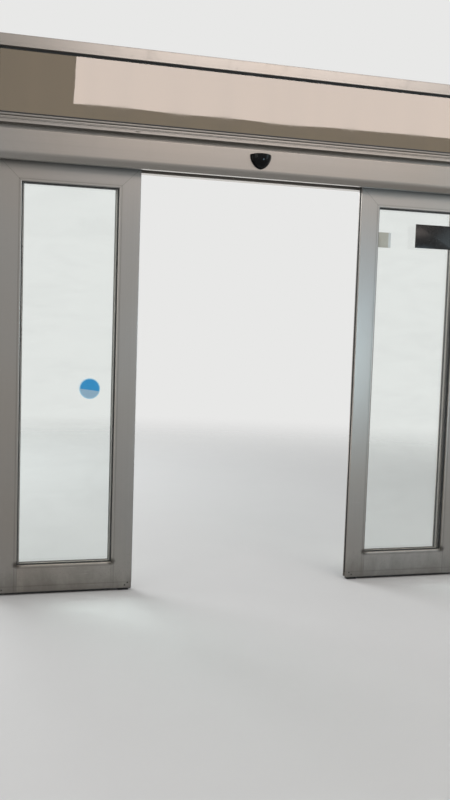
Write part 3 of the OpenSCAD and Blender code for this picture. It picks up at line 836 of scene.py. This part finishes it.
screwLook = {
    "radius": 0.004,
    "height": 0.0013,
    "recess": 0.26,  # the cross recess's width and reach, as shares of the radius
    "reach": 0.62,
    "round": (24, 12),
    "seed": 7,
    "onCap": ((0.022, -0.02), (0.026, 0.04), (-0.016, -0.02)),  # y and z, from the far edge where negative
    "sunk": 0.0003,
    "onGuide": (0.012, 0.012, 0.005),  # from each end, from the outdoor side, and height
    "onLeaf": ((0.021, 0.042), (0.036, 0.029)),  # from the stile's edge, and height
    "tone": (50, 47, 44),
    "second": (38, 36, 34),
}


def screwTree(look):
    tree, given = startTree("screwHeads", Radius="Float", Height="Float", Recess_Width="Float",
                            Recess_Reach="Float", Seed="Int", Finish="Material")
    radius, height = given["Radius"], given["Height"]
    segments, rings = look["round"]
    dome = put(tree, "GeometryNodeMeshUVSphere", {"Segments": segments, "Rings": rings, "Radius": radius})
    squeeze = triple(tree, 1.0, 1.0, sums(tree, "DIVIDE", height, radius))
    head = put(tree, "GeometryNodeTransform", {"Geometry": dome.outputs["Mesh"], "Scale": squeeze})
    cross = put(tree, "GeometryNodeMeshBoolean", {"Mesh 1": head.outputs[0]}, operation="DIFFERENCE")
    reach = sums(tree, "MULTIPLY", sums(tree, "MULTIPLY", radius, given["Recess Reach"]), 2.0)
    wide = sums(tree, "MULTIPLY", radius, given["Recess Width"])
    lift = triple(tree, z=height)
    for sides in ((reach, wide), (wide, reach)):
        bar = put(tree, "GeometryNodeMeshCube", {"Size": triple(tree, *sides, height)})
        bar = put(tree, "GeometryNodeTransform", {"Geometry": bar.outputs["Mesh"], "Translation": lift})
        tree.links.new(bar.outputs[0], cross.inputs["Mesh 2"])
    facing = put(tree, "GeometryNodeInputNamedAttribute", {"Name": "facing"}, data_type="FLOAT_VECTOR")
    upright = put(tree, "FunctionNodeAlignRotationToVector", {"Vector": facing.outputs[0]}, axis="Z")
    chance = put(tree, "FunctionNodeRandomValue", {2: 0.0, 3: math.pi, "Seed": given["Seed"]},
                 data_type="FLOAT")
    spin = put(tree, "FunctionNodeAxisAngleToRotation", {"Axis": (0, 0, 1), "Angle": chance.outputs[1]})
    turned = put(tree, "FunctionNodeRotateRotation", {0: upright.outputs[0], 1: spin.outputs[0]},
                 rotation_space="LOCAL")
    placed = put(tree, "GeometryNodeInstanceOnPoints", {"Points": given["Geometry"],
                                                        "Instance": cross.outputs["Mesh"],
                                                        "Rotation": turned.outputs[0]})
    endTree(tree, placed.outputs[0], given["Finish"])
    return tree


def screwPlaces(look):
    # Where the screws sit, as (place, facing), for each body
    places = {"frame": [], "left_leaf": [], "right_leaf": []}
    for side in ("left", "right"):
        low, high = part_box(side + "_end_cap")
        x, outward = (low.x + look["sunk"], -1) if side == "left" else (high.x - look["sunk"], 1)
        for y, z in look["onCap"]:
            y += high.y if y < 0 else low.y
            z += high.z if z < 0 else low.z
            places["frame"].append(((x, y, z), (outward, 0, 0)))
        low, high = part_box(side + "_floor_guide")
        fromEnd, fromBack, z = look["onGuide"]
        for x in (low.x + fromEnd, high.x - fromEnd):
            places["frame"].append(((x, high.y - fromBack, z), (0, 0, 1)))
        for stile in ("leading", "trailing"):
            low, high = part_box(side + "_leaf_" + stile + "_stile")
            opening = side == "left" if stile == "leading" else side == "right"
            edge, inward = (high.x, -1) if opening else (low.x, 1)
            for fromEdge, z in look["onLeaf"]:
                places[side + "_leaf"].append(((edge + inward * fromEdge, low.y, z), (0, -1, 0)))
    return places


def pointMesh(name, places):
    # Loose points that carry the way each one faces
    made = meshObject(name, [place for place, facing in places], [])
    facings = made.data.attributes.new("facing", "FLOAT_VECTOR", "POINT")
    for number, (place, facing) in enumerate(places):
        facings.data[number].vector = facing
    return made


def makeScrews(look):
    tree = screwTree(look)
    finish = zincFinish("screwZinc", {**zincLook, "zinc": look["tone"], "spangle": look["second"]})
    for body, places in screwPlaces(look).items():
        screws = grow(pointMesh("screws." + body, places), tree, {
            "Radius": look["radius"], "Height": look["height"], "Recess Width": look["recess"],
            "Recess Reach": look["reach"], "Seed": look["seed"], "Finish": finish})
        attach(screws, body)
        print("screws on", body + ":", len(places), "with", len(screws.data.polygons), "faces")


brushLook = {
    "spacing": 0.0005,
    "thick": 0.00042,
    "tipShare": 0.45,  # how thick a bristle's tip is
    "shortest": 0.86,
    "lean": 0.10,  # radians
    "fromFace": 0.0048,  # from the leaf's room side to the row's middle
    "fromEnd": 0.003,
    "rowDepth": 0.0030,
    "tip": 0.0016,  # above the floor
    "seed": 3,
    "carrier": (0.0052, 0.0030),  # depth and height of the strip that holds the bristles
    "carrierFromEnd": 0.001,
    "carrierEdge": 0.0006,
    "carrierSharpest": 40,
    "tone": (12, 12, 13),
    "scuff": (44, 42, 40),
    "scuffs": {"shows": (0.45, 0.75), "scale": 60, "detail": 4, "rough": 0.6},
    "scuffShade": 1.0,
    "scuffDulls": 0.2,
    "grain": {"scale": 3000, "detail": 2, "rough": 0.5},
    "grainDepth": 0.00003,
    "roughness": 0.5,
}


def brushTree(look):
    tree, given = startTree("bristleRow", Spacing="Float", Length="Float", Thickness="Float",
                            Lean="Float", Row_Depth="Float", Seed="Int", Finish="Material")

    def chance(least, most, later, kind):
        # Each draw has its own seed, counted on from the given one
        seed = sums(tree, "ADD", given["Seed"], later) if later else given["Seed"]
        first = 2 if kind == "FLOAT" else 0
        return put(tree, "FunctionNodeRandomValue", {first: least, first + 1: most, "Seed": seed},
                   data_type=kind)

    line = put(tree, "GeometryNodeMeshToCurve", {0: given["Geometry"]})
    dots = put(tree, "GeometryNodeCurveToPoints", {"Curve": line.outputs[0], "Length": given["Spacing"]},
               mode="LENGTH")
    half = sums(tree, "MULTIPLY", given["Row Depth"], 0.5)
    near = triple(tree, sums(tree, "MULTIPLY", given["Spacing"], -0.5), sums(tree, "MULTIPLY", half, -1.0))
    far = triple(tree, sums(tree, "MULTIPLY", given["Spacing"], 0.5), half)
    jitter = chance(near, far, 0.0, "FLOAT_VECTOR")
    strewn = put(tree, "GeometryNodeSetPosition", {"Geometry": dots.outputs["Points"],
                                                   "Offset": jitter.outputs[0]})
    thin = sums(tree, "MULTIPLY", given["Thickness"], 0.5)
    tip = sums(tree, "MULTIPLY", thin, look["tipShare"])
    bristle = put(tree, "GeometryNodeMeshCone", {"Vertices": 4, "Radius Top": tip, "Radius Bottom": thin,
                                                 "Depth": given["Length"]})
    hung = put(tree, "GeometryNodeTransform", {"Geometry": bristle.outputs["Mesh"],
                                               "Rotation": (math.pi, 0, 0)})
    lean = given["Lean"]
    back = sums(tree, "MULTIPLY", lean, -1.0)
    tilt = chance(triple(tree, back, back, back), triple(tree, lean, lean, lean), 1.0, "FLOAT_VECTOR")
    size = chance(look["shortest"], 1.0, 2.0, "FLOAT")
    placed = put(tree, "GeometryNodeInstanceOnPoints", {"Points": strewn.outputs[0],
                                                        "Instance": hung.outputs[0],
                                                        "Rotation": tilt.outputs[0],
                                                        "Scale": size.outputs[1]})
    endTree(tree, placed.outputs[0], given["Finish"])
    return tree


def roundedBar(name, low, high, radius, sharpest):
    shell = bmesh.new()
    bmesh.ops.create_cube(shell, size=1)
    for corner in shell.verts:
        corner.co = Vector(b if c > 0 else a for a, b, c in zip(low, high, corner.co))
    bmesh.ops.bevel(shell, geom=list(shell.edges), offset=radius, segments=2, profile=0.5, affect="EDGES")
    return finishMesh(name, shell, sharpest)


def makeBrushes(look):
    tree = brushTree(look)
    nylon = scuffedPlastic("bristleNylon", look)
    strip = scuffedPlastic("brushCarrier", plasticLook)
    deep, tall = look["carrier"]
    for body in ("left_leaf", "right_leaf"):
        low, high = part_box(body + "_top_rail")
        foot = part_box(body + "_bottom_rail")[0].z
        y = low.y + look["fromFace"]
        ends = [(x, y, foot - tall) for x in (low.x + look["fromEnd"], high.x - look["fromEnd"])]
        base = meshObject("brush." + body, ends, [])
        base.data.edges.add(1)
        base.data.edges[0].vertices = (0, 1)
        brush = grow(base, tree, {
            "Spacing": look["spacing"], "Length": foot - tall - look["tip"], "Thickness": look["thick"],
            "Lean": look["lean"], "Row Depth": look["rowDepth"], "Seed": look["seed"], "Finish": nylon})
        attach(brush, body)
        carrier = roundedBar("brushCarrier." + body,
                             (low.x + look["carrierFromEnd"], y - deep / 2, foot - tall),
                             (high.x - look["carrierFromEnd"], y + deep / 2, foot),
                             look["carrierEdge"], look["carrierSharpest"])
        carrier.data.materials.append(strip)
        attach(carrier, body)
        print("brush under", body + ":", len(brush.data.polygons), "faces")


# Vinyl film on the leaves' glass

# middle is measured from the leading stile's glass edge and up from the floor. Where a film has a
# second tone, split gives the axis and the place of the line between the two, which tilt turns
filmLook = [
    {"name": "discFilm", "body": "left_leaf", "shape": "disc", "middle": (0.1305, 1.086),
     "size": (0.109, 0.109), "tone": (50, 140, 194), "second": (142, 173, 194), "split": ("Z", -0.007),
     "tilt": -7, "rim": (158, 200, 220), "roughness": 0.27},
    {"name": "squareFilm", "body": "right_leaf", "shape": "sheet", "middle": (0.0415, 1.953),
     "size": (0.083, 0.085), "tone": (158, 158, 148), "second": (184, 189, 188), "split": ("X", 0.026),
     "tilt": 0, "rim": None, "roughness": 0.33},
    {"name": "darkFilm", "body": "right_leaf", "shape": "sheet", "middle": (0.3575, 1.987),
     "size": (0.243, 0.134), "tone": (17, 16, 16), "second": None, "rim": None, "roughness": 0.17},
]
vinylLook = {
    "edge": ((0, 0), (0.00018, 0), (0.0003, 0.0002)),  # out from the glass, and in from the outline
    "offGlass": 0.00003,
    "discSides": 96,
    "corner": 0.003,
    "cornerSteps": 6,
    "sharpest": 30,
    "line": 0.0003,  # half the width over which one tone turns into the next
    "rimWidth": 0.005,
    "mottle": {"scale": 55, "detail": 4, "rough": 0.6},
    "mottleShows": (0.3, 0.75, 0, 0.22),
    "mottlePaler": 24,  # levels of 255
    "mottleDulls": 0.14,
    "scratch": (150, 148, 142),
    "scratches": {"shows": (0.62, 0.72, 0, 0.14), "scale": 1, "detail": 3, "rough": 0.6,
                  "stretch": (260, 260, 40)},
    "bubbleScale": 90.0,
    "bubbleEdge": (0.0, 0.16, 1, 0),
    "bubbleDepth": 0.00005,
    "index": 1.3,
}


def filmOutline(look, vinyl, x, z):
    wide, tall = look["size"][0] / 2, look["size"][1] / 2
    points = []
    if look["shape"] == "disc":
        for i in range(vinyl["discSides"]):
            angle = math.tau * i / vinyl["discSides"]
            points.append((x + wide * math.cos(angle), z + tall * math.sin(angle)))
        return points
    radius, steps = vinyl["corner"], vinyl["cornerSteps"]
    for right, up, start in ((1, 1, 0), (-1, 1, 90), (-1, -1, 180), (1, -1, 270)):
        for i in range(steps + 1):
            angle = math.radians(start + 90 / steps * i)
            points.append((x + right * (wide - radius) + radius * math.cos(angle),
                           z + up * (tall - radius) + radius * math.sin(angle)))
    return points


def filmVinyl(look, vinyl, x, z):
    material, tree, shader, place = startFinish(look["name"] + "Vinyl")
    centred = stretched(tree, place, (1, 1, 1), shift=(-x, 0, -z))
    mottle = noise(tree, place, **vinyl["mottle"])
    paler = [level + vinyl["mottlePaler"] for level in look["tone"]]
    tone = mixColour(tree, mapped(tree, mottle, *vinyl["mottleShows"]), paint(look["tone"]), paint(paler))
    line = vinyl["line"]
    if look["second"]:
        axis, at = look["split"]
        turned = stretched(tree, centred, (1, 1, 1), (0, math.radians(look["tilt"]), 0))
        beyond = mapped(tree, axisOf(tree, turned, "XYZ".index(axis)), at - line, at + line)
        if axis == "Z":
            beyond = sums(tree, "SUBTRACT", 1.0, beyond)
        tone = mixColour(tree, beyond, tone, paint(look["second"]))
    if look["rim"]:
        away = put(tree, "ShaderNodeVectorMath", {0: centred, 1: (1, 0, 1)}, operation="MULTIPLY")
        rim = look["size"][0] / 2 - vinyl["rimWidth"]
        onRim = mapped(tree, lengthOf(tree, away.outputs[0]), rim - line, rim + line)
        tone = mixColour(tree, onRim, tone, paint(look["rim"]))
    tone = mixColour(tree, patches(tree, place, **vinyl["scratches"]), tone, paint(vinyl["scratch"]))
    bubbles = put(tree, "ShaderNodeTexVoronoi", {"Vector": place, "Scale": vinyl["bubbleScale"]})
    bubbles = mapped(tree, bubbles.outputs["Distance"], *vinyl["bubbleEdge"], "SMOOTHSTEP")
    feed(tree, shader, Base_Color=tone, IOR=vinyl["index"],
         Roughness=sums(tree, "MULTIPLY_ADD", mottle, vinyl["mottleDulls"], look["roughness"]),
         Normal=raised(tree, bubbles, vinyl["bubbleDepth"]))
    return material


def makeFilm(look, vinyl):
    low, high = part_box(look["body"] + "_leading_stile")
    x = low.x - look["middle"][0] if look["body"] == "left_leaf" else high.x + look["middle"][0]
    z = look["middle"][1]
    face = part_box(look["body"] + "_glass")[0].y - vinyl["offGlass"]
    outline = filmOutline(look, vinyl, x, z)
    shell = bmesh.new()
    rings = []
    for out, inset in vinyl["edge"]:
        share = 1 - 2 * inset / min(look["size"])
        rings.append([shell.verts.new((x + (px - x) * share, face - out, z + (pz - z) * share))
                      for px, pz in outline])
    shell.faces.new(rings[0])
    shell.faces.new(rings[-1])
    joinRings(shell, rings)
    film = finishMesh(look["name"], shell, vinyl["sharpest"])
    film.data.materials.append(filmVinyl(look, vinyl, x, z))
    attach(film, look["body"])


makeCamera(cameraLook)
makeWorld(studioLook)
studioFloor = makeFloor(studioLook)
for lampSettings in lampLook:
    makeLamp(lampSettings, studioFloor)
print("camera and studio done")
dressAluminium(aluminiumLook, profileLook)
dressRest()
makeSensor(sensorLook)
makeScrews(screwLook)
makeBrushes(brushLook)
for filmSettings in filmLook:
    makeFilm(filmSettings, vinylLook)
print("films done:", len(filmLook))

scene.view_settings.view_transform = "Standard"
